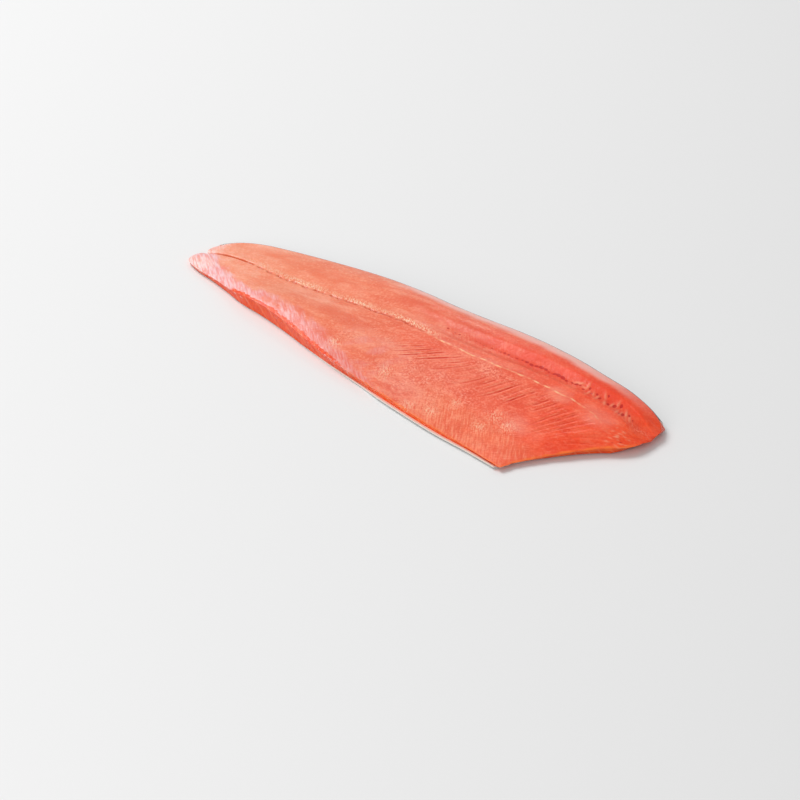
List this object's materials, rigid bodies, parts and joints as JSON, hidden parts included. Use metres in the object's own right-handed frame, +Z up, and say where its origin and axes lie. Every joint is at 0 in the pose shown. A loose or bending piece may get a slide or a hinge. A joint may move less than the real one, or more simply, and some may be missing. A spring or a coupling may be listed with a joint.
{
  "type": "raw salmon fillet",
  "caption": "Raw side of salmon lying skin side down, from the thin notched tail to the slanting head cut, for a kitchen or market scene.",
  "frame": {"origin": "middle of the fillet's outline, on the surface it lies on", "axes": "+X towards the head cut, +Y towards the back, away from the belly edge, +Z up, out of the cut face"},
  "size_m": [0.3584, 0.1216, 0.0212],
  "materials": {
    "flesh": "moist raw fish flesh, orange-pink, softly translucent, with a thin wet gloss and paler membrane at the belly side",
    "skin": "wet scaled fish skin, slate blue-grey at the back, silver at the side and off-white at the belly"
  },
  "bodies": {
    "root": {"flesh": "flesh", "skin": "skin"}
  },
  "joints": []
}
